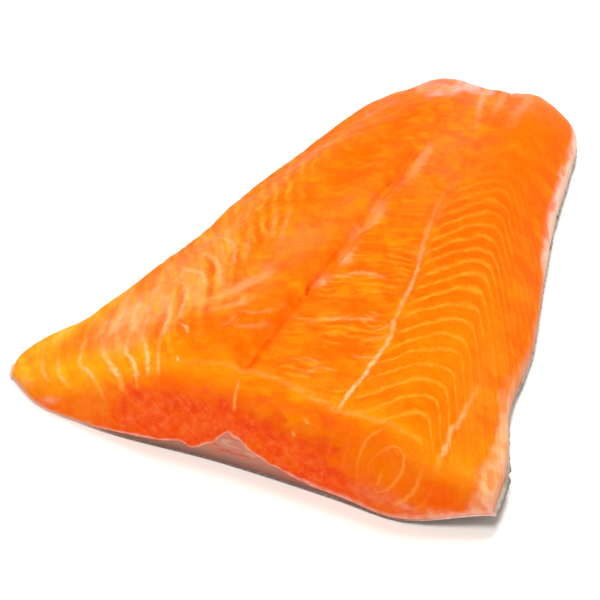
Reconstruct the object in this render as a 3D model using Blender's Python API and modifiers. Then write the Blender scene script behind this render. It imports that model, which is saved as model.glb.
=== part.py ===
"""A raw salmon trout fillet lying skin side down: flesh, dark muscle, edge fat and skin, as four solids.

Run with: blender --background --python part.py
Metres, +Z up. The straight cut end is at -Y, the thick back (dorsal) side at +X, the table at z = 0.

Every piece is worked out over the same footprint. A point of it has a share s across, from the belly
edge (0) to the back edge (1), and a share t along, from the cut end (0) to the far end (1).
"""

import bmesh
import bpy
import numpy as np

MM = 0.001

# Footprint in mm from a corner of the cut end: edges as (place along, across), ends as (share across, place along)
BELLY_EDGE = [
    (6, -11), (14, -12.5), (24, -9), (36, -2), (56, 4.7), (76, 10), (98, 16.5),
    (116, 19), (136, 23.4), (156, 29), (182, 35.5), (206, 42), (222, 48), (235, 56),
]
BACK_EDGE = [
    (-4, 149), (12, 149.5), (40, 145.5), (68, 147), (115, 144),
    (150, 142), (190, 142), (212, 141), (226, 136),
]
CUT_END = [(0, 7), (0.07, 0), (0.2, -4), (0.5, -5), (0.72, -7.5), (0.85, -9.5), (1, -4)]
FAR_END = [(0, 234), (0.13, 241), (0.36, 236), (0.6, 228.5), (0.82, 228.5), (1, 224)]
WIDTH = 160
LENGTH = 240
MIDDLE = 0.506

# Thickness over the skin: the crest in mm along t, then how it falls to the belly edge and to the back edge
CREST = [(0, 27), (0.5, 26), (0.8, 22.5), (1, 19)]
BELLY_RIM = 0.13
BELLY_REACH = 0.5
BELLY_FULLNESS = 1.2
FLANK_START = 0.81
FLANK_RIM = 0.2
FLANK_FULLNESS_CUT = 1.05
FLANK_FULLNESS = 1.5
FLANK_ALONG = 0.2

# Humps and dents of the top: height or depth in mm, then place and half width as shares across
HUMP = (3.0, 0.16, 0.09)
VALLEY = (1.8, 0.38, 0.07)
LOIN_SWELL = (1.2, 0.78, 0.06)
GROOVE = (2.4, MIDDLE, 0.016)
PIN_BONE_DENT = (0.6, 0.69, 0.012)

# Where along the piece the hump and valley, the swell and the groove rise and fade, as shares
HUMP_ALONG = (0.1, 0.3, 0.6, 0.85)
SWELL_ALONG = (0.02, 0.1)
GROOVE_ALONG = (0.03, 0.08, 0.6, 0.75)

# Flakes of the loin: pitch, height and how far their borders arch in mm, then where they show across and along
FLAKE_PITCH = 8.0
FLAKE_RELIEF = 0.35
FLAKE_ARCH = 26
FLAKES_ACROSS = (0.69, 0.73, 0.86, 0.9)
FLAKES_ALONG = (0.05, 0.1, 0.8, 0.95)

# How far each end leans back for a mm of height, and how square its upper edge is
CUT_LEAN = 0.38
CUT_LEAN_BELLY = 1.25
BELLY_SIDE = (0.12, 0.36)
CUT_SQUARE = 2.4
FAR_LEAN = 0.6
FAR_SQUARE = 2.0
BELLY_ROUND = 2.5
BACK_ROUND = 0.8

# Dark muscle: a wedge on the skin, right under the groove, in mm
WEDGE_HEIGHT = [(0, 12), (0.6, 8.5), (1, 5)]
WEDGE_HALF = 0.2
WEDGE_HOLLOW = 1.6
WEDGE_EDGE = 0.2

# Fat strip along the back edge: its width and the rounding of its outer edge in mm, and its columns across
FAT_WIDTH = [(0, 7.5), (0.12, 4.5), (0.6, 3.6), (1, 3)]
FAT_ROUND = 1.5
FAT_COLUMNS = (0, 0.04, 0.3, 0.6, 0.8, 0.93, 1)

# Skin under all of it, in mm: thickness, how far it stands out past the footprint, how high its edges curl up
SKIN = 0.8
SKIN_OUT = 0.4
SKIN_OUT_BACK = 1.4
BACK_CURL = 3.2
CORNER_CURL = 3.0
BELLY_CURL = 1.0
BACK_CURL_ACROSS = (0.8, 1.02)
CORNER_ALONG = 0.3
BELLY_CURL_ACROSS = (-0.01, 0.14)

GAP = 0.4
WELD = 0.00001

# Plain colours, as linear shares of red, green and blue
FLESH_COLOUR = (0.90, 0.25, 0.07)
DARK_COLOUR = (0.45, 0.16, 0.10)
FAT_COLOUR = (0.90, 0.66, 0.50)
SKIN_COLOUR = (0.42, 0.36, 0.32)

# Steps of the grids: rows are those of the cut face, the top and the far end
FLESH_ROWS = (6, 78, 6)
FLESH_COLUMNS = 34
SIDE_COLUMNS = 3
WEDGE_ROWS = (2, 24, 2)
WEDGE_COLUMNS = 12
FAT_ROWS = (3, 34, 3)
SKIN_ROWS = 28
SKIN_COLUMNS = 20
UNDERSIDE_ROWS = 4


def smooth_curve(stations, at):
    """Values at the given places on a smooth curve through (place, value) stations."""
    place, value = np.array(stations, float).T
    slope = np.gradient(value, place)
    at = np.clip(at, place[0], place[-1])
    i = np.clip(np.searchsorted(place, at) - 1, 0, len(place) - 2)
    gap = place[i + 1] - place[i]
    f = (at - place[i]) / gap
    ends = value[i] * (1 + 2 * f) * (1 - f) ** 2 + value[i + 1] * f * f * (3 - 2 * f)
    return ends + gap * f * (1 - f) * (slope[i] * (1 - f) - slope[i + 1] * f)


def rise(low, high, at):
    """0 below low, 1 above high, and a smooth rise between them."""
    f = np.clip((at - low) / (high - low), 0, 1)
    return f * f * (3 - 2 * f)


def between(span, at):
    """0 outside a span (low, full from, full to, high), 1 in its middle, and smooth on both sides."""
    return rise(span[0], span[1], at) * (1 - rise(span[2], span[3], at))


def bell(form, at):
    """A bell over its place, from (height, place, half width)."""
    return form[0] * np.exp(-(((at - form[1]) / form[2]) ** 2))


def footprint(s, t):
    """Places across and along, in mm, of a point at shares s and t."""
    start = smooth_curve(CUT_END, s)
    along = start + (smooth_curve(FAR_END, s) - start) * t
    belly = smooth_curve(BELLY_EDGE, along)
    return belly + (smooth_curve(BACK_EDGE, along) - belly) * s, along


def lift(s, t):
    """Height of the skin's underside over the table: flat but for its edges, which curl up a little."""
    back = BACK_CURL + CORNER_CURL * (1 - rise(0, CORNER_ALONG, t))
    return rise(*BACK_CURL_ACROSS, s) * back + BELLY_CURL * (1 - rise(*BELLY_CURL_ACROSS, s))


def thickness(s, t):
    """Height of the upper surface over the skin, with no rounding at the ends and sides."""
    belly = np.sin(np.clip(s / BELLY_REACH, 0, 1) * np.pi / 2) ** BELLY_FULLNESS
    flank = np.clip((s - FLANK_START) / (1 - FLANK_START), 0, 1)
    fullness = FLANK_FULLNESS_CUT + (FLANK_FULLNESS - FLANK_FULLNESS_CUT) * rise(0, FLANK_ALONG, t)
    fall = 1 - (1 - FLANK_RIM) * flank**fullness
    height = smooth_curve(CREST, t) * (BELLY_RIM + (1 - BELLY_RIM) * belly) * fall
    height += (bell(HUMP, s) - bell(VALLEY, s)) * between(HUMP_ALONG, t)
    height += bell(LOIN_SWELL, s) * rise(*SWELL_ALONG, t)
    height -= bell(GROOVE, s) * between(GROOVE_ALONG, t)
    return height - bell(PIN_BONE_DENT, s) + flakes(s, t)


def flakes(s, t):
    """Low ridges on the loin, one for each flake of the muscle, whose borders arch over it."""
    arch = FLAKE_ARCH * rise(FLAKES_ACROSS[0], FLAKES_ACROSS[2], s)
    ridges = np.cos(2 * np.pi * (t * LENGTH - arch) / FLAKE_PITCH)
    return FLAKE_RELIEF * ridges * between(FLAKES_ACROSS, s) * between(FLAKES_ALONG, t)


def wedge(s, t):
    """Height of the dark muscle over the skin: a tent with hollow sides."""
    off_middle = np.clip(np.abs(s - MIDDLE) / WEDGE_HALF, 0, 1)
    return smooth_curve(WEDGE_HEIGHT, t) * (1 - off_middle) ** WEDGE_HOLLOW


def bulge(inset, square):
    """Height, 0 to 1, on a rounded edge at an inset from 0 to 1; a higher square is nearer to a step."""
    return (1 - (1 - np.clip(inset, 0, 1)) ** square) ** (1 / square)


def inset_at(height, square):
    """The inset at which bulge reaches a height."""
    return 1 - (1 - np.clip(height, 0, 1) ** square) ** (1 / square)


def leans(s):
    """Shares along that the two ends take to reach their full thickness."""
    belly_side = 1 - rise(*BELLY_SIDE, s)
    cut = (CUT_LEAN + (CUT_LEAN_BELLY - CUT_LEAN) * belly_side) * thickness(s, 0 * s)
    return cut / LENGTH, FAR_LEAN * thickness(s, 0 * s + 1) / LENGTH


def surface(s, t):
    """Height of the upper surface over the skin, with the cut face and the rounded far end."""
    cut, far = leans(s)
    return thickness(s, t) * bulge(t / cut, CUT_SQUARE) * bulge((1 - t) / far, FAR_SQUARE)


def rows_along(s, low, high, cut_rows, top_rows, far_rows):
    """Shares along of a grid's rows, as (row, column). At the ends they climb from a low height to a high one."""
    cut, far = leans(s)
    start, end = 0 * s, 0 * s + 1
    climb = np.sin(np.linspace(0, np.pi / 2, cut_rows + 1))[:, None]
    fall = np.sin(np.linspace(np.pi / 2, 0, far_rows + 1))[:, None]
    cut_height = (low(s, start) + (high(s, start) - low(s, start)) * climb) / thickness(s, start)
    far_height = (low(s, end) + (high(s, end) - low(s, end)) * fall) / thickness(s, end)
    first = cut * inset_at(cut_height, CUT_SQUARE)
    last = 1 - far * inset_at(far_height, FAR_SQUARE)
    top = np.linspace(0, 1, top_rows + 1)[1:-1, None]
    return np.vstack([first, first[-1] + (last[0] - first[-1]) * top, last])


def add_sheet(bm, points):
    """Adds a grid of faces through points (row, column, xyz) in mm. Returns its faces by row and column."""
    rows, columns = points.shape[0] - 1, points.shape[1] - 1
    verts = bmesh.ops.create_grid(bm, x_segments=columns, y_segments=rows, size=1)["verts"]
    faces = {}
    for face in {face for vert in verts for face in vert.link_faces}:
        centre = face.calc_center_median()
        faces[int((centre.y + 1) / 2 * rows), int((centre.x + 1) / 2 * columns)] = face
    for vert in verts:
        row, column = round((vert.co.y + 1) / 2 * rows), round((vert.co.x + 1) / 2 * columns)
        vert.co = points[row, column] * MM
    return faces


def add_object(name, bm, look, collection):
    """Puts a mesh in the collection as an object of that name."""
    mesh = bpy.data.meshes.new(name)
    bm.to_mesh(mesh)
    bm.free()
    mesh.materials.append(look)
    piece = bpy.data.objects.new(name, mesh)
    collection.objects.link(piece)
    return piece


def add_body(name, s, t, top, bottom, origin, look, collection):
    """A closed solid between two heights over the skin, which meet all round the rim."""
    rim = np.ones(s.shape, bool)
    rim[1:-1, 1:-1] = False
    across, along = footprint(s, t)
    skin_top = lift(s, t) + SKIN
    bm = bmesh.new()
    add_sheet(bm, np.stack([across, along, skin_top + np.where(rim, bottom, top)], 2) - origin)
    under = add_sheet(bm, np.stack([across, along, skin_top + bottom], 2) - origin)
    strips = {}
    for (row, column), face in sorted(under.items()):
        strips.setdefault((row // UNDERSIDE_ROWS, column), []).append(face)
    bmesh.ops.remove_doubles(bm, verts=bm.verts, dist=WELD)
    for strip in strips.values():
        bmesh.ops.dissolve_faces(bm, faces=[face for face in strip if face.is_valid], use_verts=True)
    bmesh.ops.recalc_face_normals(bm, faces=bm.faces)
    return add_object(name, bm, look, collection)


def moist(name, colour, roughness):
    """The plain look of a moist piece."""
    look = bpy.data.materials.new(name)
    look.use_nodes = True
    shader = look.node_tree.nodes["Principled BSDF"]
    shader.inputs["Base Color"].default_value = (*colour, 1)
    shader.inputs["Roughness"].default_value = roughness
    shader.inputs["Metallic"].default_value = 0
    return look


def bare(s, t):
    """Height over the skin of what lies right on it."""
    return GAP + 0 * s * t


def over_wedge(s, t):
    """Height over the skin of what lies on the dark muscle."""
    return wedge(s, t) + GAP


def add_flesh(origin, collection):
    """The pink-orange muscle: its top with humps and groove, its cut face, a channel for the dark muscle."""
    belly, back = BELLY_ROUND / WIDTH, BACK_ROUND / WIDTH
    turn = 1 - np.cos(np.linspace(0, np.pi / 2, SIDE_COLUMNS + 1))
    left = np.linspace(belly, MIDDLE, FLESH_COLUMNS // 2 + 1)
    right = np.linspace(MIDDLE, 1 - back, FLESH_COLUMNS // 2 + 1)
    c = np.concatenate([belly * turn[:-1], left[:-1], right, 1 - back * turn[-2::-1]])
    side = bulge(c / belly, 2) * bulge((1 - c) / back, 2)
    squeeze = rise(MIDDLE, 1, c) / WIDTH
    t = rows_along(c - smooth_curve(FAT_WIDTH, 0) * squeeze, over_wedge, thickness, *FLESH_ROWS)
    s = c - smooth_curve(FAT_WIDTH, t) * squeeze
    bottom = over_wedge(s, t)
    top = bottom + np.clip(surface(s, t) - bottom, 0, None) * side
    return add_body("flesh", s, t, top, bottom, origin, moist("flesh", FLESH_COLOUR, 0.35), collection)


def add_dark_muscle(origin, collection):
    """The grey-brown muscle that runs along the middle of the skin and shows as a wedge in the cut face."""
    thin = GAP + WEDGE_EDGE
    side = np.linspace(-1, 1, WEDGE_COLUMNS + 1)
    across = MIDDLE + WEDGE_HALF * side
    t = rows_along(across, bare, lambda s, t: np.maximum(wedge(s, t), thin), *WEDGE_ROWS)
    reach = 1 - (thin / smooth_curve(WEDGE_HEIGHT, t)) ** (1 / WEDGE_HOLLOW)
    s = MIDDLE + WEDGE_HALF * side * reach
    top = np.minimum(wedge(s, t), surface(s, t))
    look = moist("dark_muscle", DARK_COLOUR, 0.4)
    return add_body("dark_muscle", s, t, np.maximum(top, GAP), bare(s, t), origin, look, collection)


def add_fat(origin, collection):
    """The pale fat that edges the back side, in line with the flank and the cut face."""
    share = np.array(FAT_COLUMNS)
    near = 1 - smooth_curve(FAT_WIDTH, 0) / WIDTH * (1 - share)
    t = rows_along(near, bare, thickness, *FAT_ROWS)
    width = smooth_curve(FAT_WIDTH, t)
    s = 1 - (width - GAP) / WIDTH * (1 - share)
    bottom = bare(s, t)
    side = np.where(share > 0, bulge((1 - share) * width / FAT_ROUND, 2), 0)
    top = bottom + np.clip(surface(s, t) - bottom, 0, None) * side
    return add_body("fat_edge", s, t, top, bottom, origin, moist("fat", FAT_COLOUR, 0.4), collection)


def skin_points():
    """The underside of the skin, a little larger than the footprint, as an array (row, column, xyz) in mm."""
    across = np.linspace(-SKIN_OUT / WIDTH, 1 + SKIN_OUT_BACK / WIDTH, SKIN_COLUMNS + 1)
    t = np.linspace(-SKIN_OUT / LENGTH, 1 + SKIN_OUT / LENGTH, SKIN_ROWS + 1)[:, None]
    s = across + 0 * t
    x, y = footprint(np.clip(s, 0, 1), t)
    return np.stack([x + (s - np.clip(s, 0, 1)) * WIDTH, y, lift(s, t)], 2)


def add_skin(points, origin, collection):
    """The grey skin as one thin sheet, thickened upward from its flat underside."""
    bm = bmesh.new()
    add_sheet(bm, points - origin)
    skin = add_object("skin", bm, moist("skin", SKIN_COLOUR, 0.35), collection)
    sheet = skin.modifiers.new("thickness", "SOLIDIFY")
    sheet.thickness = SKIN * MM
    sheet.offset = 1
    return skin


def main():
    for piece in list(bpy.data.objects):
        bpy.data.objects.remove(piece)
    collection = bpy.data.collections.new("salmon_trout_fillet")
    bpy.context.scene.collection.children.link(collection)
    skin = skin_points()
    origin = (skin.min((0, 1)) + skin.max((0, 1))) / 2 * (1, 1, 0)
    add_skin(skin, origin, collection)
    add_flesh(origin, collection)
    add_dark_muscle(origin, collection)
    add_fat(origin, collection)


main()
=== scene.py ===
"""A raw salmon trout fillet lying on its skin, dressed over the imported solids.

Metres in the row's frame: the straight cut end at -Y, the thick back (dorsal) side at +X, the table at z = 0.
Shapes are worked out in millimetres over the footprint. A point of it has a share s across, from the belly
edge (0) to the back edge (1), and a share t along, from the cut end (0) to the far end (1).
"""

import math

import bpy
import numpy as np
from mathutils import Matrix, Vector


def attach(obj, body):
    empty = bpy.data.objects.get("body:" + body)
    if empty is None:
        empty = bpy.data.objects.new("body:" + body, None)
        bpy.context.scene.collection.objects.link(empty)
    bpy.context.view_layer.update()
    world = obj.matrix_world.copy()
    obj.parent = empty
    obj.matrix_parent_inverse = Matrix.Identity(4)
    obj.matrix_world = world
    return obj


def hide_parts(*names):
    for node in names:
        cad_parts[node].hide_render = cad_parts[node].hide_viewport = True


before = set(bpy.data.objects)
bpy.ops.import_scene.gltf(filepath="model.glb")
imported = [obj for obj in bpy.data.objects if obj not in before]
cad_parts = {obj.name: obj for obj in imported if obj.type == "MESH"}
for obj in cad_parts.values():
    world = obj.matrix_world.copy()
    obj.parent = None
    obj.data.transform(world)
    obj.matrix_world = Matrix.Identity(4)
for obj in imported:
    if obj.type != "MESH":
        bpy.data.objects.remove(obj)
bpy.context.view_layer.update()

# Skin. The trout's own skin, left on when the fillet was taken off the bones: under a millimetre thick,
# silver on the belly side and grey with dark spots on the back side, set with fine overlapping scales.
# It was cut with the flesh, so it shows as a thin line under the cut and as a ragged rim at the back.
MM = 0.001
ORIGIN = (69.03, 115.98)  # the middle of the footprint, in the outline's own mm

# The outline in mm: the two side edges as (along, across), and the two ends as (share across, along).
BELLY_EDGE = [
    (6, -11), (14, -12.5), (24, -9), (36, -2), (56, 4.7), (76, 10), (98, 16.5),
    (116, 19), (136, 23.4), (156, 29), (182, 35.5), (206, 42), (222, 48), (235, 56),
]
BACK_EDGE = [
    (-4, 149), (12, 149.5), (40, 145.5), (68, 147), (115, 144),
    (150, 142), (190, 142), (212, 141), (226, 136),
]
CUT_END = [(0, 7), (0.07, 0), (0.2, -4), (0.5, -5), (0.72, -7.5), (0.85, -9.5), (1, -4)]
FAR_END = [(0, 234), (0.13, 241), (0.36, 236), (0.6, 228.5), (0.82, 228.5), (1, 224)]
WIDTH = 160  # a whole share across, in round mm
LENGTH = 240  # a whole share along
MIDDLE = 0.506  # the share across where the backbone lay

# The skin in mm: how thick it is, how far it stands out from the flesh, and how far its edges curl up.
SKIN = 0.8
SKIN_OUT = 0.4
SKIN_OUT_BACK = 0.5
BACK_CURL = 3.2
CORNER_CURL = 3.0
BELLY_CURL = 1.0
RAGGED = 0.22  # how far the back edge frays in and out
CORNER_FLAP = 2.4  # how much wider the rim is at the near corner, in widths of the rim
SKIN_ROWS = 330
EDGE_COLUMNS = (0, 0.25, 0.5, 0.9, 1.5, 2.5, 4, 6, 9, 13, 18)  # in mm from both side edges
INNER_COLUMNS = (24, 24)  # how many, and how far from the edges in mm they start
SKIN_SILVER = "#c9c4bf"
SKIN_ROSE = "#c79d92"
SKIN_BACK = "#7a726c"
SKIN_CUT = "#7c5950"
SKIN_CUT_PALE = "#eab9a8"
SKIN_RIM = "#bcaea2"
SKIN_SPOT = "#45423c"
SCALE_SIZE = 1.8  # from scale to scale, in mm
SPOT_CELLS = 85.0  # cells in a metre, so 12 mm from spot to spot
LATTICE = 97  # random numbers along each side of a lattice
SHARP = math.radians(55)  # a sharper edge isn't shaded smooth


def smooth_curve(stations, at):
    """Values at places on a smooth curve through (place, value) stations, a cubic piece between each two."""
    place, value = np.array(stations, float).T
    slope = np.gradient(value, place)
    at = np.clip(at, place[0], place[-1])
    i = np.clip(np.searchsorted(place, at) - 1, 0, len(place) - 2)
    gap = place[i + 1] - place[i]
    f = (at - place[i]) / gap
    ends = value[i] * (1 + 2 * f) * (1 - f) ** 2 + value[i + 1] * f * f * (3 - 2 * f)
    return ends + gap * f * (1 - f) * (slope[i] * (1 - f) - slope[i + 1] * f)


def rise(low, high, at):
    """0 below low, 1 above high, and 3f^2 - 2f^3 between them."""
    f = np.clip((at - low) / (high - low), 0, 1)
    return f * f * (3 - 2 * f)


def between(low, full, full_to, high, at):
    """0 outside low to high, 1 from full to full_to, and smooth on both sides."""
    return rise(low, full, at) * (1 - rise(full_to, high, at))


def bell(centre, width, at):
    """exp(-d^2), with d the distance from the centre in widths."""
    return np.exp(-(((at - centre) / width) ** 2))


def mottle(x, y, size, seed):
    """Smooth random heights, about -1 to 1: two turned lattices of random numbers, size mm apart, summed.

    Between the numbers they ease over with 3f^2 - 2f^3, across and along.
    """
    height = 0
    for turn in (0.5, 1.4):
        table = np.random.default_rng(seed + int(10 * turn)).uniform(-0.8, 0.8, (LATTICE, LATTICE))
        across = (x * math.cos(turn) + y * math.sin(turn)) / size
        along = (y * math.cos(turn) - x * math.sin(turn)) / size
        i, j = np.floor(across).astype(int), np.floor(along).astype(int)
        f, g = across - i, along - j
        f, g = f * f * (3 - 2 * f), g * g * (3 - 2 * g)
        a, b, c, d = i % LATTICE, (i + 1) % LATTICE, j % LATTICE, (j + 1) % LATTICE
        near = table[a, c] * (1 - f) + table[b, c] * f
        height = height + near * (1 - g) + (table[a, d] * (1 - f) + table[b, d] * f) * g
    return height


def plan(s, t):
    """Places across and along in mm: t runs between the two ends, then s between the two side edges."""
    start = smooth_curve(CUT_END, s)
    along = start + (smooth_curve(FAR_END, s) - start) * t
    belly = smooth_curve(BELLY_EDGE, along)
    across = belly + (smooth_curve(BACK_EDGE, along) - belly) * s
    return across - ORIGIN[0], along - ORIGIN[1]


def lift(s, t):
    """Height of the skin's underside over the table: none over the middle, rising from a share of 0.8 to the
    back edge, most at the near corner, and a little from 0.14 to the belly edge."""
    back = BACK_CURL + CORNER_CURL * (1 - rise(0, 0.3, t))
    return rise(0.8, 1.02, s) * back + BELLY_CURL * (1 - rise(-0.01, 0.14, s))


def linear(code):
    """The linear colour of an sRGB hex code, with alpha 1."""
    share = np.array([int(code[i : i + 2], 16) for i in (1, 3, 5)]) / 255
    return (*np.where(share <= 0.04045, share / 12.92, ((share + 0.055) / 1.055) ** 2.4), 1.0)


def add(nodes, kind, sockets={}, **settings):
    """Adds a node with its settings. Each input socket named gets a value, or a link from an output.

    Sockets that share a name go by number: in a Map Range 1 and 2 are the range read, 3 and 4 the range
    given, and in a colour Mix 0 is the share, 6 and 7 the colours.
    """
    node = nodes.new(kind)
    for name, value in settings.items():
        setattr(node, name, value)
    for name, value in sockets.items():
        if isinstance(value, bpy.types.NodeSocket):
            node.id_data.links.new(value, node.inputs[name])
        else:
            node.inputs[name].default_value = value
    return node


def new_look(name):
    """An empty node material. Returns it with its nodes."""
    look = bpy.data.materials.new(name)
    look.use_nodes = True
    look.node_tree.nodes.clear()
    return look, look.node_tree.nodes


def add_piece(name, upper, lower, look, node, slot, painted={}):
    """A closed mesh from two grids of points in mm, (row, column, xyz), which share their rim.

    Each cell of a grid is one face. painted holds vertex values by name, one grid of them for each.
    """
    rows, columns = upper.shape[:2]
    over = np.arange(rows * columns).reshape(rows, columns)
    under = over.copy()
    under[1:-1, 1:-1] = over.size + np.arange((rows - 2) * (columns - 2)).reshape(rows - 2, columns - 2)
    cells = [
        np.stack([n[:-1, :-1], n[:-1, 1:], n[1:, 1:], n[1:, :-1]], 2).reshape(-1, 4) for n in (over, under)
    ]
    faces = np.vstack([cells[0], cells[1][:, ::-1]])
    points = np.vstack([upper.reshape(-1, 3), lower[1:-1, 1:-1].reshape(-1, 3)]) * MM
    mesh = bpy.data.meshes.new(name)
    mesh.vertices.add(len(points))
    mesh.vertices.foreach_set("co", points.astype(np.float32).ravel())
    mesh.loops.add(faces.size)
    mesh.loops.foreach_set("vertex_index", faces.astype(np.int32).ravel())
    mesh.polygons.add(len(faces))
    mesh.polygons.foreach_set("loop_start", np.arange(0, faces.size, 4, dtype=np.int32))
    mesh.update(calc_edges=True)
    mesh.shade_smooth()
    mesh.set_sharp_from_angle(angle=SHARP)
    for label, values in painted.items():
        kind, field = ("FLOAT_COLOR", "color") if values.shape[2] == 4 else ("FLOAT_VECTOR", "vector")
        sides = [part.reshape(-1, values.shape[2]) for part in (values, values[1:-1, 1:-1])]
        both = np.vstack(sides).astype(np.float32)
        mesh.attributes.new(label, kind, "POINT").data.foreach_set(field, both.ravel())
    mesh.materials.append(look)
    piece = bpy.data.objects.new(name, mesh)
    bpy.context.scene.collection.objects.link(piece)
    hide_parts(node)
    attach(piece, "root")
    return piece


def toward(colour, code, share):
    """Colours mixed toward an sRGB hex code by a share from 0 to 1."""
    return colour + (np.array(linear(code)) - colour) * share[..., None]


def skin_parts():
    """Both sides of the skin and its paint: the footprint let out by a narrow rim, frayed at the back.

    The rim goes out by a share past 0 or 1. At the near corner a flap makes it wider.
    """
    edge = np.array(EDGE_COLUMNS)
    count, start = INNER_COLUMNS
    inside = np.linspace(start, WIDTH - start, count)
    across = np.concatenate([edge - SKIN_OUT, inside, (WIDTH + SKIN_OUT_BACK - edge)[::-1]]) / WIDTH
    t = np.linspace(-SKIN_OUT / LENGTH, 1 + SKIN_OUT / LENGTH, SKIN_ROWS)[:, None]
    s = across + 0 * t
    x, y = plan(np.clip(s, 0, 1), t)
    out = (s - np.clip(s, 0, 1)) * WIDTH
    fray = RAGGED * (mottle(y, 0 * y, 1.1, 3) + 0.8 * mottle(y, 0 * y, 3.7, 4))
    flap = CORNER_FLAP * between(-0.02, 0.02, 0.05, 0.13, t) * (1 + 0.35 * mottle(y, 0 * y, 2.2, 6))
    x = x + out * (1 + flap) + fray * rise(0.1, SKIN_OUT_BACK, out)
    low = lift(s, t)
    thick = SKIN * (1 - 0.45 * rise(0.2, SKIN_OUT_BACK, out))
    rim = np.ones(s.shape, bool)
    rim[1:-1, 1:-1] = False
    upper = np.stack([x, y, np.where(rim, low + thick / 2, low + thick)], 2)
    lower = np.stack([x, y, low], 2)

    share = s + 0.04 * mottle(x, y, 14, 5)
    colour = toward(np.array(linear(SKIN_SILVER)) + 0 * s[..., None], SKIN_ROSE, rise(0.2, 0.5, share))
    colour = toward(colour, SKIN_BACK, rise(0.5, 0.85, share))
    back_rim, cut = rise(1 - 0.8 / WIDTH, 1, s), rise(1.5 / LENGTH, 0, t)
    colour = toward(colour, SKIN_RIM, back_rim)
    colour = toward(colour, SKIN_CUT, cut)
    colour = toward(colour, SKIN_CUT_PALE, rise(1.2 / WIDTH, 0, s))
    colour = toward(colour, SKIN_SPOT, 0.35 * rise(0, 0.6, mottle(x, y, 2.6, 8)) * back_rim)
    colour = toward(colour, SKIN_SPOT, (0.75 - 0.4 * rise(0.1, 0.3, t)) * rise(0.2, SKIN_OUT_BACK, out))
    pale = 1 - rise(0.12, 0.32, s) + rise(0.82, 0.93, s)
    colour = toward(colour, SKIN_CUT_PALE, cut * pale)
    return upper, lower, {"tint": colour, "back": np.repeat(rise(0.45, 0.8, share)[..., None], 3, 2)}


def skin_look():
    """Wet fish skin: a thin, smooth film over fine scales, so it gleams. Silver to rose to grey across the
    fish, with dark spots on the back side, and a low relief of scales that are darker between."""
    look, nodes = new_look("wet_trout_skin")
    place = add(nodes, "ShaderNodeTexCoord").outputs["Object"]
    paint = add(nodes, "ShaderNodeAttribute", attribute_name="tint").outputs["Color"]
    back = add(nodes, "ShaderNodeAttribute", attribute_name="back").outputs["Fac"]
    scales = add(
        nodes, "ShaderNodeTexVoronoi", {"Vector": place, "Scale": 1 / (SCALE_SIZE * MM), "Randomness": 0.5}
    )
    spots = add(
        nodes, "ShaderNodeTexVoronoi", {"Vector": place, "Scale": SPOT_CELLS, "Randomness": 1.0}
    ).outputs[0]
    spot = add(nodes, "ShaderNodeMapRange", {0: spots, 1: 0.26, 2: 0.18}).outputs[0]
    spotted = add(nodes, "ShaderNodeMath", {0: spot, 1: back}, operation="MULTIPLY").outputs[0]
    shade = add(nodes, "ShaderNodeMapRange", {0: scales.outputs[0], 3: 1.12, 4: 0.72}).outputs[0]
    scaled = add(nodes, "ShaderNodeVectorMath", {0: paint, 3: shade}, operation="SCALE").outputs[0]
    colour = add(
        nodes, "ShaderNodeMix", {0: spotted, 6: scaled, 7: linear(SKIN_SPOT)}, data_type="RGBA"
    ).outputs[2]
    bump = add(nodes, "ShaderNodeBump", {"Height": scales.outputs[0], "Strength": 0.6, "Distance": 0.00025})
    shader = add(
        nodes, "ShaderNodeBsdfPrincipled",
        {"Base Color": colour, "Roughness": 0.32, "IOR": 1.4, "Normal": bump.outputs[0]},
    )
    add(nodes, "ShaderNodeOutputMaterial", {0: shader.outputs[0]})
    return look


upper, lower, painted = skin_parts()
add_piece("trout_skin", upper, lower, skin_look(), "skin", "skin", painted)

# Dark muscle. The grey-brown lateral muscle along the middle of the skin, soft and rich in fat, which shows
# in the cut as a low wedge with hollow sides and a small peak. It runs right to the far end under the flesh.
CREST = [(0, 27), (0.5, 26), (0.8, 22.5), (1, 19)]
BELLY_RIM = 0.13  # the thickness at the belly edge, as a share of the crest's
BELLY_REACH = 0.5
FLANK_START = 0.81
FLANK_RIM = 0.2

# How the ends round off: how far each leans in, as a share of its height, and how square it is.
CUT_LEAN = 0.38
CUT_LEAN_BELLY = 1.25
CUT_SQUARE = 2.4
FAR_LEAN = 0.6
FAR_SQUARE = 2.0

# The wedge: its height at places across from the middle, in mm, and what is left of it at shares along.
WEDGE = [
    (-44, 0), (-35, 1.1), (-29, 1.5), (-24, 1.9), (-19, 3.1), (-14.5, 3.3), (-12.3, 2.3), (-10, 3.4),
    (-7, 5.4), (-4.4, 6.8), (-3, 9.4), (-1.5, 11.6), (0, 12.5), (1.8, 11.3), (4, 10.6), (6, 9), (8, 7.4),
    (12, 5.6), (16, 4.2), (20, 3.0), (24, 1.9), (30, 1.2), (38, 0.8), (48, 0),
]
WEDGE_ALONG = [(0, 1), (0.6, 0.7), (1, 0.4)]
WEDGE_SIDES = (-43, 47)  # how far it goes across from the middle, in mm
WEDGE_COLUMNS = 150
WEDGE_ROWS = (12, 120, 8)  # up the cut, along the top and down the far end
WEDGE_CROWD = 1.3  # rows crowd towards the cut with this power
TUCK = 0.25  # how far it goes into the flesh and the skin, in mm
RECESS = 0.12  # how far its face lies behind the cut, in mm
STREAK_CELLS = 330.0  # cells in a metre, so streaks 3 mm apart
DARK_RED = "#b9624a"
DARK_PINK = "#d1745a"
DARK_OLIVE = "#c0826a"
DARK_PALE = "#d99681"
DARK_GREY = "#806157"


def bulge(inset, square):
    """Height, 0 to 1, on a rounded edge at an inset from 0 to 1: (1 - (1 - inset)^n)^(1/n), n the square.

    With a square of 2 it is a quarter circle.
    """
    return (1 - (1 - np.clip(inset, 0, 1)) ** square) ** (1 / square)


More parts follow.
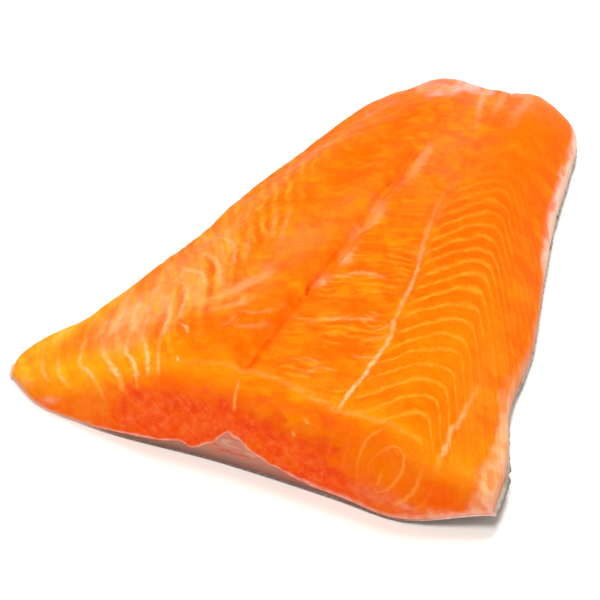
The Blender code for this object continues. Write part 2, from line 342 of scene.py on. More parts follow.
def inset_at(height, square):
    """The inset at which bulge reaches a height."""
    return 1 - (1 - np.clip(height, 0, 1) ** square) ** (1 / square)


def thickness(s, t):
    """Height of the flesh over the skin: a crest along t, times a sine up from the belly edge and a fall to
    the back edge. Bells on it in mm: the belly's hump and the hollow beside it, the loin's swell, the crease
    in the middle and the groove of the pin bones."""
    belly = np.sin(np.clip(s / BELLY_REACH, 0, 1) * np.pi / 2) ** 1.2
    flank = np.clip((s - FLANK_START) / (1 - FLANK_START), 0, 1)
    fall = 1 - (1 - FLANK_RIM) * flank ** (1.05 + 0.45 * rise(0, 0.2, t))
    height = smooth_curve(CREST, t) * (BELLY_RIM + (1 - BELLY_RIM) * belly) * fall
    height += (3.0 * bell(0.16, 0.09, s) - 1.8 * bell(0.38, 0.07, s)) * between(0.1, 0.3, 0.6, 0.85, t)
    height += 1.2 * bell(0.78, 0.06, s) * rise(0.02, 0.1, t)
    height -= 2.4 * bell(MIDDLE, 0.016, s) * between(0.03, 0.08, 0.6, 0.75, t)
    return height - 0.6 * bell(0.69, 0.012, s)


def leans(s):
    """Shares along that the two ends take to reach their full thickness."""
    belly_side = 1 - rise(0.12, 0.36, s)
    cut = (CUT_LEAN + (CUT_LEAN_BELLY - CUT_LEAN) * belly_side) * thickness(s, 0 * s)
    return cut / LENGTH, FAR_LEAN * thickness(s, 0 * s + 1) / LENGTH


def surface(s, t):
    """Height of the flesh over the skin: the thickness, rounded off at the cut face and at the far end."""
    cut, far = leans(s)
    return thickness(s, t) * bulge(t / cut, CUT_SQUARE) * bulge((1 - t) / far, FAR_SQUARE)


def wedge(s, t):
    """Height of the dark muscle over the skin: a profile across, a little wavy, times its share along."""
    side = (s - MIDDLE) * WIDTH + 0 * t
    wavy = 1 + 0.11 * mottle(side, 40 * t, 2.2, 31)
    return smooth_curve(WEDGE, side) * wavy * smooth_curve(WEDGE_ALONG, t)


def rows_along(s, low, high, cut_rows, top_rows, far_rows, crowd):
    """Shares along of a grid's rows, as (row, column): up the cut from a low height to a high one in steps
    of a sine, along the top in even steps to the power crowd, and down the far end the same way."""
    cut, far = leans(s)
    start, end = 0 * s, 0 * s + 1
    climb = np.sin(np.linspace(0, np.pi / 2, cut_rows + 1))[:, None]
    fall = np.sin(np.linspace(np.pi / 2, 0, far_rows + 1))[:, None]
    cut_height = (low(s, start) + (high(s, start) - low(s, start)) * climb) / thickness(s, start)
    far_height = (low(s, end) + (high(s, end) - low(s, end)) * fall) / thickness(s, end)
    first = cut * inset_at(cut_height, CUT_SQUARE)
    last = 1 - far * inset_at(far_height, FAR_SQUARE)
    top = np.linspace(0, 1, top_rows + 1)[1:-1, None] ** crowd
    return np.vstack([first, first[-1] + (last[0] - first[-1]) * top, last])


def flat(s, t):
    """No height at all."""
    return 0 * s * t


def over_skin(s, t, height):
    """Points at a height over the skin."""
    return np.stack([*plan(s, t), lift(s, t) + SKIN + height], 2)


def dark_look():
    """Raw dark muscle: moist, and rich in fat, so satin rather than glossy. Reddish brown with paler streaks
    that lean across it, and greyer in the lowest 4 mm, towards the skin. A little light goes into it."""
    look, nodes = new_look("dark_trout_muscle")
    place = add(nodes, "ShaderNodeTexCoord").outputs["Object"]
    drawn = add(
        nodes, "ShaderNodeMapping", {"Vector": place, "Rotation": (0, 0.5, 0), "Scale": (0.45, 0.45, 1.7)}
    ).outputs[0]
    cloud = add(
        nodes, "ShaderNodeTexNoise",
        {"Vector": drawn, "Scale": STREAK_CELLS, "Detail": 5.0, "Distortion": 0.8},
    ).outputs[0]
    streaked = add(nodes, "ShaderNodeValToRGB", {0: cloud})
    streaked.color_ramp.elements[0].position = 0.34
    streaked.color_ramp.elements[1].position = 0.66
    streaked.color_ramp.elements[0].color = linear(DARK_RED)
    streaked.color_ramp.elements[1].color = linear(DARK_PALE)
    streaked.color_ramp.elements.new(0.45).color = linear(DARK_PINK)
    streaked.color_ramp.elements.new(0.56).color = linear(DARK_OLIVE)
    height = add(nodes, "ShaderNodeSeparateXYZ", {0: place}).outputs[2]
    swayed = add(
        nodes, "ShaderNodeMath", {0: cloud, 1: -0.006, 2: height}, operation="MULTIPLY_ADD"
    ).outputs[0]
    low = add(nodes, "ShaderNodeMapRange", {0: swayed, 1: 0.0024, 2: -0.0018, 4: 0.8}).outputs[0]
    colour = add(
        nodes, "ShaderNodeMix", {0: low, 6: streaked.outputs[0], 7: linear(DARK_GREY)}, data_type="RGBA"
    )
    bump = add(nodes, "ShaderNodeBump", {"Height": cloud, "Strength": 0.6, "Distance": 0.0004})
    shader = add(
        nodes, "ShaderNodeBsdfPrincipled",
        {
            "Base Color": colour.outputs[2], "Roughness": 0.38, "IOR": 1.38, "Normal": bump.outputs[0],
            "Subsurface Weight": 0.15, "Subsurface Radius": (1.0, 0.4, 0.25), "Subsurface Scale": 0.002,
        },
    )
    add(nodes, "ShaderNodeOutputMaterial", {0: shader.outputs[0]})
    return look


def dark_sheets():
    """Both sides of the dark muscle: its top lies just inside the flesh, its face just behind the cut."""
    s = MIDDLE + np.linspace(*WEDGE_SIDES, WEDGE_COLUMNS) / WIDTH
    t = rows_along(s, flat, lambda s, t: wedge(s, t) + TUCK, *WEDGE_ROWS, WEDGE_CROWD)
    t = t + (1 - 2 * t) * RECESS / LENGTH
    s = s + 0 * t
    top = np.minimum(wedge(s, t) + TUCK, surface(s, t))
    lower = over_skin(s, t, 0 * t - TUCK)
    upper = over_skin(s, t, top)
    rim = np.ones(s.shape, bool)
    rim[1:-1, 1:-1] = False
    return np.where(rim[..., None], lower, upper), lower


add_piece("dark_muscle_wedge", *dark_sheets(), dark_look(), "dark_muscle", "dark_muscle")

# Flesh. Raw muscle of a salmon trout, orange from its feed, in flakes of about 8 mm with pale sheets of
# tissue between them. The borders arch over the loin, run as strokes over the belly side and close to rings
# in the cut. A pale line marks where the pin bones were, and a crease runs where the backbone lay.
FLAKE = 7.7  # from border to border in mm: on the loin, in the middle and on the belly side
FLAKE_MIDDLE = 3.4
FLAKE_BELLY = 5.2

# Lines along the fillet, as (along, across) in mm from the middle of the footprint.
LOIN_APEX = [(-150, 56), (-108, 56.5), (-75, 59), (-40, 58.5), (20, 55), (130, 54)]
BELLY_RUN = [
    (-150, 75), (-130, 61), (-120, 52), (-110, 43.5), (-100, 36), (-80, 27.5), (-60, 19.5), (-40, 10),
    (-20, 0), (20, -15), (120, -42),
]
PIN_LINE = [
    (-116, 32.8), (-110, 33.7), (-105, 34.6), (-100, 35.8), (-95, 36.2), (-88, 37.5), (-80, 38.1),
    (-72, 37.3), (-57, 37.5), (-47, 37.3), (-35, 36), (-18, 34.5), (5, 34.3), (20, 36.5), (40, 41), (70, 44),
]
CREASE = [
    (-112, 1.6), (-100, 2.4), (-90, 3), (-80, 4), (-72, 5), (-63, 5.9), (-52, 7), (-42, 8.2), (-30, 9.2),
    (-15, 10.2), (0, 11.3), (10, 13), (20, 15), (30, 16.5), (45, 18), (70, 15),
]
LOIN_FIRST = -115.5  # where the first border crosses the loin's apex
LOIN_SLOPES = (1.05, 2.85)  # how steeply a border falls from there, towards the pin bones and the back
LOIN_ROUND = 4.5  # how round it is at the apex, in mm
FLESH = "#fb6d06"

# Soft patches of colour on the flesh, the later ones over the earlier ones: the colour, its strength, the
# place across and along, and the two radii, in mm. Some of them stand for light, as marked below: a painted
# sheen, a painted highlight and a painted glow.
PATCHES_AND_PAINTED_LIGHT = [
    ("#fd8604", 0.8, 53, -80, 15, 36), ("#fb7102", 0.75, 30, 35, 60, 45), ("#fa6a00", 0.7, 49, 12, 12, 38),
    ("#f96400", 0.9, 43, -32, 9, 40), ("#fa6406", 0.75, 67, 30, 7, 60), ("#fd8c1c", 0.75, 69, -80, 6, 30),
    # In the next two lines, the pale ones on the belly's hump: pale tissue with a painted sheen over it.
    ("#fd8a0e", 0.7, -38, -20, 15, 30), ("#ffb274", 0.9, -48, -80, 11, 15),
    # In the next three lines, the yellow ones at the thin belly edge: a painted glow of light shining through
    # it.
    ("#ffa050", 0.6, -42, -58, 12, 22), ("#fda80a", 0.95, -70, -82, 7.5, 20),
    ("#fdb32a", 0.9, -78, -92, 7, 16), ("#fda820", 0.8, -66, -64, 4, 14),
    ("#fdb02c", 0.95, -76, -111, 12, 9), ("#fdae10", 0.9, -50, -111, 20, 8),
    # In the next two lines, yellow along the top edge of the cut: a painted highlight where the edge catches
    # the light.
    ("#fba004", 0.8, -30, -105, 11, 7), ("#fd9206", 0.8, -8, -110.5, 22, 4),
    ("#fc8a08", 0.8, 30, -113, 34, 4), ("#fd9a04", 0.7, 48, -116.5, 14, 3.2),
    # In the next two lines, the pale pink ones beside the crease: pale tissue with a painted sheen over it.
    ("#fb7402", 0.6, -14, -97, 11, 8), ("#fa6600", 0.9, -19, -48, 6, 17), ("#ff9a64", 0.55, -21, -72, 7, 8),
    ("#ff9356", 0.45, -12, -56, 6, 14), ("#fe8a44", 0.6, -5, -32, 8, 14), ("#fe7e30", 0.5, 3, -8, 6, 14),
    ("#f96000", 0.8, -2, 34, 12, 32), ("#f95e00", 0.9, 9, 74, 13, 13), ("#f95e04", 0.8, 40, 66, 7, 18),
    ("#fa7000", 0.95, -15, 55, 11, 36), ("#fb7602", 0.5, 54, 72, 9, 18), ("#fb5c06", 0.9, 25, 87, 5, 8),
    ("#fa6e08", 0.95, -26, 50, 14, 42), ("#fc7a38", 0.6, -16, 100, 9, 13), ("#fd9a50", 0.5, -47, 15, 3, 24),
    ("#fb4c16", 0.7, 17, 13, 2.2, 9), ("#fb740e", 0.9, 0, -121, 60, 3.4), ("#fd8c06", 0.9, 19, -124, 8, 5),
    ("#fc8004", 0.8, 30, -126.5, 6, 4), ("#ffa05c", 0.6, -42, -101, 6, 5),
    ("#fd7e06", 0.95, 48, -131, 11, 12), ("#fd8e0c", 0.85, 61, -123, 10, 5),
    ("#fb720e", 0.6, 66, -130, 5, 6), ("#fd9a10", 0.9, -52, -120, 15, 4),
    ("#fd8420", 0.85, -46, -130, 9, 8), ("#fdb98e", 0.6, -61, -124.8, 3, 1.6),
    ("#fb9858", 0.7, -73.5, -117, 4, 2.5), ("#f27a4c", 0.85, 46, -145, 13, 3.6),
    ("#fda022", 0.7, 70, -118, 4, 5), ("#ff9c70", 0.8, 9, -57, 1.8, 3.6), ("#ff9660", 0.7, 13, -42, 1.6, 7),
    ("#ff8f58", 0.7, 11.5, -28, 2, 5), ("#ff9868", 0.8, 14, -10, 2.2, 6),
    ("#fb5004", 0.85, 3.6, -88, 1.6, 12), ("#f94606", 0.9, 2.2, -102, 1.3, 3),
    ("#fd9446", 0.7, 36, -35, 2, 3.4), ("#fd8a3c", 0.6, 35.5, -8, 1.6, 8),
    ("#fc7848", 0.34, 29, 45, 13, 42), ("#fd8a5c", 0.4, 36, 90, 24, 9), ("#ff9a68", 0.6, 55, 102, 8, 6),
    ("#ffb692", 0.85, 63.6, -139.6, 1.2, 1.3), ("#ffbc9a", 0.85, 66.2, -137.6, 1.1, 1.3),
    ("#ffb894", 0.85, 68.8, -135.4, 1.2, 1.2), ("#fc5a04", 0.7, 64, -133, 4, 4.5),
    ("#ffa888", 0.7, 57, -142.8, 3, 1.3),
]

# Borders of two larger areas, as (across, along) in mm: the red part of the cut lies below the first line,
# and the pink of the far end beyond the second.
RED_TOP = [
    (-44, -135), (-38, -129), (-33, -121.5), (-24, -121), (-12, -120.5), (0, -121.5), (6, -123), (12, -126.5),
    (18, -129), (26, -133), (36, -138.5), (44, -143),
]
RED = "#fc5a1c"
FAR_PINK_FROM = [
    (-12, 118), (-4, 112), (-1, 103), (3, 95), (8, 90), (14, 86.5), (18, 88.5), (22, 95), (30, 94), (36, 99),
    (44, 100), (52, 103), (60, 106), (68, 110),
]
FAR_PINK = "#ff9c82"
FAR_PALE = "#ffc6ba"

# Clouds of colour on the top and in the cut: the colour, its strength, its size in mm and its random seed.
CLOUDS = (
    ("#fe8410", 0.5, 7, 41), ("#fd9406", 0.45, 5.5, 43), ("#f66002", 0.5, 4.5, 45), ("#fe7e10", 0.4, 3, 47),
)
FACE_CLOUDS = (("#f03c1a", 0.6, 4.5, 51), ("#fc6a28", 0.55, 2.6, 53), ("#fd7004", 0.5, 3.4, 55))

# Flake borders, the pale hem at the foot of the flesh, the fat, the strokes, and the streaks and specks.
BORDER = "#fea02a"
FOOT = "#fab095"
FAT = "#fdb67c"
FAT_RIM = "#f9b088"
FAT_FAR = "#ffd0ba"
FAT_TIP = "#fbe6d4"
FAT_ISLAND = "#f78f30"
CREAM = "#fcc080"
PINK = "#ff9c6c"
DEEP = "#e63c06"
RING = "#ffa948"
STREAK_PALE = "#ffb070"
SPECK_PALE = "#fd844e"
SPECK_DARK = "#ee3a10"
GLOSS = "#ffb070"

FLESH_COLUMNS = (72, 84)  # on the belly side and on the back side
FLESH_ROWS = (36, 240, 14)  # up the cut, along the top and down the far end
CROWD = 1.25  # rows crowd towards the cut with this power
BELLY_ROUND = 2.5  # how far in the belly edge is rounded, in mm
OVERLAP = 0.3  # how far flesh and fat go into each other, in mm
SINK = 0.1  # how far both go into what is under them, in mm
DIP = 0.12  # how much lower the flesh lies where the fat covers it, in mm
FAT_WIDTH = [(0, 7.5), (0.12, 4.5), (0.6, 3.6), (1, 3)]

# Sizes of the noise in the flesh: streaks as mm across and along the layers, the others as cells in a metre.
# Fibres are really 0.1 mm thick, and are drawn as coarse as they need to be to show.
STREAKS = ((2.8, 16), (1.5, 9))
BLOTCH_CELLS = 150.0  # 6.7 mm each
FINE_CELLS = 420.0  # 2.4 mm
BEAD_CELLS = 330.0  # 3 mm
FIBRE_CELLS = 900.0  # 1.1 mm, and 5 mm along the fillet
GRAIN_CELLS = 1300.0  # 0.8 mm

# Strokes of pale tissue, and dark creases with a strength below zero: half the width in mm, the strength, and
# points across and along in mm, along with the cut face laid out before the edge. One faint stroke along the
# top edge of the cut is a painted highlight. Two lists, so that strokes which lie side by side don't meet in
# the same values.
STROKE_PLACES = 40  # places that make up a stroke's curve
STROKES = [
    (0.55, 0.9, [(2, -113), (2.2, -119), (2.5, -126)]),
    (0.98, 0.9, [
        (-53, -93), (-49.5, -101), (-46, -106), (-42, -111), (-38, -115.5), (-35.5, -119), (-34, -124),
    ]),
    (0.7, 0.85, [(-39.5, -92), (-36.5, -98), (-34, -101.5), (-31, -106), (-28.5, -111), (-26, -117)]),
    (0.7, 0.45, [(-66, -101), (-62, -109), (-59, -114), (-56.5, -117), (-52, -122)]),
    (0.95, 0.75, [(-44, -69), (-39.5, -73), (-36.5, -79), (-33.5, -85), (-31.5, -91), (-29.5, -99)]),
    (1.0, 0.6, [(-50, -46), (-44, -52), (-38, -56.5), (-33, -59.5), (-30.5, -63), (-28.5, -68)]),
    (1.0, 0.5, [(-45, -22), (-39, -31), (-33, -36), (-29, -41), (-26.5, -47), (-24, -54)]),
    (1.1, 0.3, [(-24, -10), (-21.5, -19), (-19.5, -27), (-17, -35)]),
    (1.2, 0.5, [(-54, -72), (-49, -79), (-46, -86), (-43, -93)]),
    (0.45, 0.8, [(-20.6, -106.6), (-19.2, -109)]),
    (0.6, 0.95, [(20.6, -127.4), (21.8, -130.2)]),
    # A faint pale line along the top edge of the cut: a painted highlight where the edge catches the light.
    (1.3, 0.13, [
        (-34, -107.5), (-21, -109), (-10.8, -108.5), (0, -107.8), (13, -109.3), (23.5, -112.3),
        (32.8, -115.3), (40.8, -115.8), (51, -116.6), (58, -116.2),
    ]),
    (2.6, 0.42, [(-30.5, -79.5), (-22.3, -73.8), (-14, -64), (-8.5, -55)]),
    (1.3, 0.22, [(1, -83), (-1, -87), (-4, -89), (-9, -90.2)]),
    (1.2, 0.3, [(-15, -71), (-12, -75), (-10, -79)]),
    (0.9, 0.2, [(-13.5, -81.5), (-11, -84.5), (-10.8, -88), (-13.5, -90.5)]),
    (1.3, 0.35, [(10.5, -60), (13, -56.5), (17, -53.3), (22, -51.2), (28, -51.8)]),
    (0.6, 0.2, [(15, -103.5), (19, -103.8), (23, -100), (27, -100.4)]),
    (0.6, 0.25, [(30, -84), (34, -82), (37.5, -81)]),
    (0.6, 0.25, [(31, -76.5), (33, -78.2), (35.5, -76), (37.3, -73)]),
    (2.4, 0.45, [(12, -2), (14, -9), (16, -17), (12, -27)]),
    (1.5, 1.0, [(34, 62), (32.5, 74), (31, 86), (30.7, 97), (30, 106), (28, 114)]),
    (2.6, 0.6, [(47, 66), (46.8, 76), (48.5, 88), (49, 98), (47, 107)]),
    (1.2, 0.6, [(2, 90), (1, 99), (-0.5, 110), (-2, 119)]),
    (0.5, 0.6, [
        (44.6, -138), (44.6, -134), (45.5, -130.5), (47.5, -127.3), (50, -124.3), (52, -123),
        (53.7, -124.2), (54.3, -127.5), (54, -131.5), (53, -135.5), (51.5, -139.3), (49.5, -142.5),
        (47, -144),
    ]),
    (0.6, 0.6, [(59.3, -121), (59.3, -127), (58.6, -132.5), (57, -138), (55, -142.5), (52.5, -146)]),
    (0.38, 0.15, [(33.2, -123), (32.6, -130), (32, -138)]),
    (0.38, 0.15, [(38.2, -122), (37.4, -130), (36.6, -139)]),
    (0.38, 0.2, [(63.3, -124), (62.6, -131), (61, -138), (58, -144)]),
    (0.6, -0.5, [
        (2, -104), (2.6, -98), (3.4, -90), (4.2, -80), (5, -72), (5.8, -65), (6.4, -58), (7.6, -48),
        (9, -34),
    ]),
    (0.6, -0.45, [(-20.5, -50), (-18.5, -57), (-16, -60.5), (-13.8, -58.5)]),
    (0.3, -0.8, [(36.9, -97.6), (37.1, -99.4)]),
    (0.3, -0.8, [(38.2, -92.2), (38.4, -93.6)]),
    (0.38, -0.4, [(-26, -122), (-20, -131)]),
    (0.38, -0.5, [(-21.5, -120), (-14, -129.5)]),
    (0.38, -0.5, [(-14.5, -121), (-8, -129.5)]),
    (0.45, -0.35, [(-3, -120), (-1.5, -127)]),
]
STROKES_BETWEEN = [
    (0.85, 0.65, [
        (-60, -93), (-57, -101), (-55.5, -106), (-53, -110), (-49, -113.5), (-44, -120), (-40, -127),
    ]),
    (0.75, 0.9, [(-45, -93), (-41, -100.5), (-39, -105), (-35, -109), (-32, -113), (-29, -122)]),
    (0.6, 0.4, [(-33, -93), (-30.5, -98), (-29, -102), (-26.5, -108), (-24.5, -112), (-23, -116)]),
    (0.7, 0.3, [(-73, -99), (-69, -107), (-65.5, -112.5), (-62, -117)]),
    (0.95, 0.65, [(-47, -60), (-40, -63), (-36, -66.5), (-33, -73), (-31, -80), (-28, -88)]),
    (1.0, 0.6, [(-46, -35), (-39, -44), (-33, -49), (-29.5, -54), (-26.5, -60), (-23.5, -66)]),
    (1.05, 0.32, [(-29, -27), (-26, -35), (-23.5, -42), (-21.5, -50)]),
    (1.1, 0.28, [(-19, -8), (-17, -18), (-15, -28), (-13, -38)]),
    (1.2, 0.45, [(-58, -80), (-53, -87), (-50, -94)]),
    (0.6, 0.95, [(-27.6, -90.4), (-25.8, -91.2), (-24, -92.8), (-22, -95.6)]),
    (0.7, 1.0, [(23.6, -121.1), (25.4, -124.2)]),
    (1.7, 0.28, [(-25, -83.8), (-20, -81), (-14, -78), (-8, -73)]),
    (1.1, 0.2, [(2.5, -74), (0, -78.5), (-5, -81.5), (-11, -81.5)]),
    (1.2, 0.28, [(6, -80), (11, -80.5), (16, -79), (20.5, -76.5), (25, -75), (29.5, -73.5), (31, -70)]),
    (0.6, 0.22, [(10, -100), (14, -99), (17.5, -97.4), (22, -98.2)]),
    (0.6, 0.3, [(29, -90.4), (31.5, -91.6), (36.5, -91)]),
    (1.05, 0.6, [(8, -56), (9.5, -58.5), (10.6, -62)]),
    (2.2, 0.45, [(11, -36), (12.5, -42), (14, -49)]),
    (2.0, 0.6, [(17, 2), (19.5, 13), (20.3, 25), (20.8, 43)]),
    (1.6, 0.7, [(37.8, 76), (38.2, 87), (38.8, 98), (38, 107)]),
    (0.9, 0.5, [(-20, 90), (-16.5, 82), (-14, 76)]),
    (0.75, 0.6, [
        (66.8, -82), (66.2, -90), (65.4, -98), (65, -103), (63.6, -107), (64, -111), (63.3, -116),
        (63, -123),
    ]),
    (0.5, 0.55, [(41.4, -141), (41.2, -135), (41.8, -129), (42.6, -125), (44.5, -121.4), (47.5, -118)]),
    (0.4, 0.6, [(48.7, -134), (48.3, -137.5), (47.4, -141)]),
    (0.6, -0.35, [(9.3, -30), (10.4, -15), (11.3, 0), (13, 10), (15.4, 20), (16.8, 32)]),
    (0.75, -1.0, [(5.6, -60), (6.2, -66)]),
    (0.3, -0.8, [(36.4, -100.8), (36.6, -102.2)]),
    (0.3, -0.6, [(37.6, -71.6), (37.2, -73.6)]),
    (0.38, -0.5, [(-18, -120.5), (-11, -129)]),
    (0.38, -0.4, [(-10.5, -121), (-5, -128)]),
    (0.52, -0.3, [(8, -134), (14, -138.5), (20, -141.5)]),
    (0.45, -0.35, [(-37, -120), (-32, -127)]),
]


def near_stroke(points, x, along):
    """Signed distance in mm to a smooth curve through points, and how far along it (0 to 1) that place is.

    The nearest place on the curve is found, and its tangent gives what is left, across it and along it.
    """
    points = np.array(points, float)
    run = np.append(0, np.cumsum(np.hypot(*np.diff(points, axis=0).T)))
    at = np.linspace(0, run[-1], STROKE_PLACES)
    path = np.stack([smooth_curve(np.stack([run, points[:, k]], 1), at) for k in (0, 1)], 1)
    aim = np.gradient(path, at, axis=0)
    aim /= np.linalg.norm(aim, axis=1, keepdims=True)
    away = (x[:, None] - path[:, 0]) ** 2 + (along[:, None] - path[:, 1]) ** 2
    i = away.argmin(1)
    dx, dy = x - path[i, 0], along - path[i, 1]
    share = (at[i] + dx * aim[i, 0] + dy * aim[i, 1]) / run[-1]
    return dx * aim[i, 1] - dy * aim[i, 0], share


def draw_strokes(x, along, strokes):
    """For each vertex the stroke that is strongest there: (distance in half widths, strength, tone).

    A stroke is thin at its start, full from the middle on and fades at its end. The tone runs from 0 for
    cream to 1 for pink, and is 2 in the cut face and -1 for a crease.
    """
    best, drawn = np.zeros(x.shape), np.zeros((*x.shape, 3))
    drawn[..., 0] = 9  # far from any stroke
    for half, strength, points in strokes:
        xs, ys = np.array(points, float).T
        reach = 4 * half + 2
        close = (x > xs.min() - reach) & (x < xs.max() + reach)
        close &= (along > ys.min() - reach) & (along < ys.max() + reach)
        at_x, at_y = x[close], along[close]
        gap, share = near_stroke(points, at_x, at_y)
        ends = (0.25 + 0.75 * rise(0.1, 0.55, share)) * between(-0.08, 0.08, 0.85, 1.06, share)
        power = abs(strength) * ends * np.exp(-((gap / (2 * half)) ** 2))
        wins = power > best[close]
        near = 1 - rise(1.6, 2.6, np.abs(gap / half))
        warm = np.maximum(rise(-60, 10, at_y), 0.35 * rise(0, -10, at_x) * rise(-110, -90, at_y))
        tone = np.where(at_y < -117, 2, warm) if strength > 0 else -1 + 0 * gap
        rows = np.stack([gap / half, abs(strength) * ends * near, tone], 1)
        inside = drawn[close]
        inside[wins] = rows[wins]
        drawn[close] = inside
        strongest = best[close]
        strongest[wins] = power[wins]
        best[close] = strongest
    return drawn


def loin_drop(x, along):
    """How far a flake border of the loin lies before its apex, in mm: a straight slope on either side,
    rounded together as a hyperbola."""
    off = x - smooth_curve(LOIN_APEX, along)
    return np.hypot(LOIN_ROUND, np.where(off < 0, *LOIN_SLOPES) * off) - LOIN_ROUND


def flake_borders(x, along):
    """(phase, strength, half width as a share of a flake) of the borders between flakes, by region.

    The phase counts flakes: along the arches on the loin, aslant in the middle, and across the belly's run.
    """
    pins, crease = smooth_curve(PIN_LINE, along), smooth_curve(CREASE, along)
    wavy = mottle(x, along, 6, 11)
    loin = (along + loin_drop(x, along) - LOIN_FIRST + 0.9 * wavy) / FLAKE
    middle = (along - 0.2 * (x - 20) + 1.5 * wavy + 0.7 * mottle(x, along, 2.5, 12)) / FLAKE_MIDDLE
    belly = (x - smooth_curve(BELLY_RUN, along) + 1.3 * wavy) / FLAKE_BELLY
    patchy = rise(-0.5, 0.6, mottle(x, along, 7, 13))
    loin_strength = 0.64 * rise(0.3, 4, x - pins) * (1 - 0.72 * rise(58, 67, x))
    loin_strength = loin_strength * between(-122, -112, -50, 55, along)
    middle_strength = 0.52 * rise(2.5, 7, x - crease) * rise(0.5, 3, pins - x)
    middle_strength = middle_strength * patchy * between(-118, -108, -60, 10, along)
    belly_strength = (0.25 + 0.55 * patchy) * rise(-12, -26, x) * between(-128, -118, -20, 110, along)
    belly_strength = belly_strength * (0.45 + 0.55 * rise(-88, -80, along))
    on_loin, on_belly = x > pins, x < crease
    phase = np.where(on_loin, loin, np.where(on_belly, belly, middle))
    strength = np.where(on_loin, loin_strength, np.where(on_belly, belly_strength, middle_strength))
    loin_half = 0.2 + 0.12 * rise(-80, -35, along)
    return np.stack([phase, strength, np.where(on_loin, loin_half, np.where(on_belly, 0.36, 0.3))], -1)


def flow(x, along, cover):
    """Places in mm over the layers, (across them, along them, how strongly they show), by region."""
    loin = (along + loin_drop(x, along), x)
    middle = (along - 0.45 * x, x)
    belly = (0.6 * (x - smooth_curve(BELLY_RUN, along)), 0.6 * along)
    on_loin, on_belly = x > smooth_curve(PIN_LINE, along), x < smooth_curve(CREASE, along)
    places = [np.where(on_loin, a, np.where(on_belly, b, c)) for a, b, c in zip(loin, belly, middle)]
    belly_amount = (0.15 + 0.4 * rise(-8, -30, x)) * (0.3 + 0.7 * rise(10, -35, along))
    belly_amount = belly_amount * (1 - 0.4 * rise(-90, -104, along))
    amount = np.where(on_loin, 0.16, np.where(on_belly, belly_amount, 0.24))
    amount = amount * (1 - 0.45 * rise(0, 60, along))
    by_pins, by_crease = (np.abs(x - smooth_curve(line, along)) for line in (PIN_LINE, CREASE))
    seam = rise(0.3, 2.5, by_pins) * rise(0.3, 2.5, by_crease)
    return np.stack([*places, (amount + (0.3 - amount) * cover) * rise(-124, -114, along) * seam], -1)


def tint(x, along, base, patches):
    """The colour of the flesh: a base, and over it patches of strength exp(-dx^2 - dy^2), in their radii."""
    # Some of the patches are painted sheen, a painted highlight and a painted glow.
    colour = np.array(linear(base)) + np.zeros((*x.shape, 4))
    for code, strength, px, py, rx, ry in patches:
        cover = strength * np.exp(-(((x - px) / rx) ** 2) - ((along - py) / ry) ** 2)[..., None]
        colour = colour + (np.array(linear(code)) - colour) * cover
    return colour


def flesh_grid():
    """Shares s and t of the flesh's grid, and the share of its height at each column: round on the belly
    side, and a straight wall where the fat joins on, so that no crease shows between the two."""
    belly = BELLY_ROUND / WIDTH
    turn = 1 - np.cos(np.linspace(0, np.pi / 2, 6))
    left = np.linspace(belly, MIDDLE, FLESH_COLUMNS[0] + 1)
    right = np.linspace(MIDDLE, 1, FLESH_COLUMNS[1] + 1)
    c = np.concatenate([belly * turn[:-1], left[:-1], right, [1]])
    side = bulge(c / belly, 2)
    side[-1] = 0
    squeeze = rise(MIDDLE, 1, c) / WIDTH
    t = rows_along(c - smooth_curve(FAT_WIDTH, 0) * squeeze, wedge, thickness, *FLESH_ROWS, CROWD)
    return c - (smooth_curve(FAT_WIDTH, t) - OVERLAP) * squeeze, t, side


def unrolled(s, t):
    """Places across and along in mm, with the cut face laid out in line with the top."""
    x, y = plan(s, t)
    cut = leans(s)[0]
    return x, y - thickness(s, t) * (1 - bulge(t / cut, CUT_SQUARE))


def fat_cover(s, t, x, along):
    """How much fat shows, 0 to 1: a strip along the back edge with a wavy border, and islands of muscle."""
    inward = (1 - s) * WIDTH + 0.9 * mottle(x, 0.35 * along, 3, 61) + 0.6 * mottle(x, 0.5 * along, 1.6, 62)
    width = smooth_curve(FAT_WIDTH, t) * (0.8 + 0.35 * rise(-20, 20, along))
    width = width * (1 - 0.7 * between(-72, -62, -16, 0, along))
    islands = rise(0.1, 0.5, mottle(x, 0.4 * along, 2, 63)) * rise(0.8, 2, (1 - s) * WIDTH)
    return (1 - rise(-2.6, 1.8, inward - width)) * (1 - 0.6 * islands)


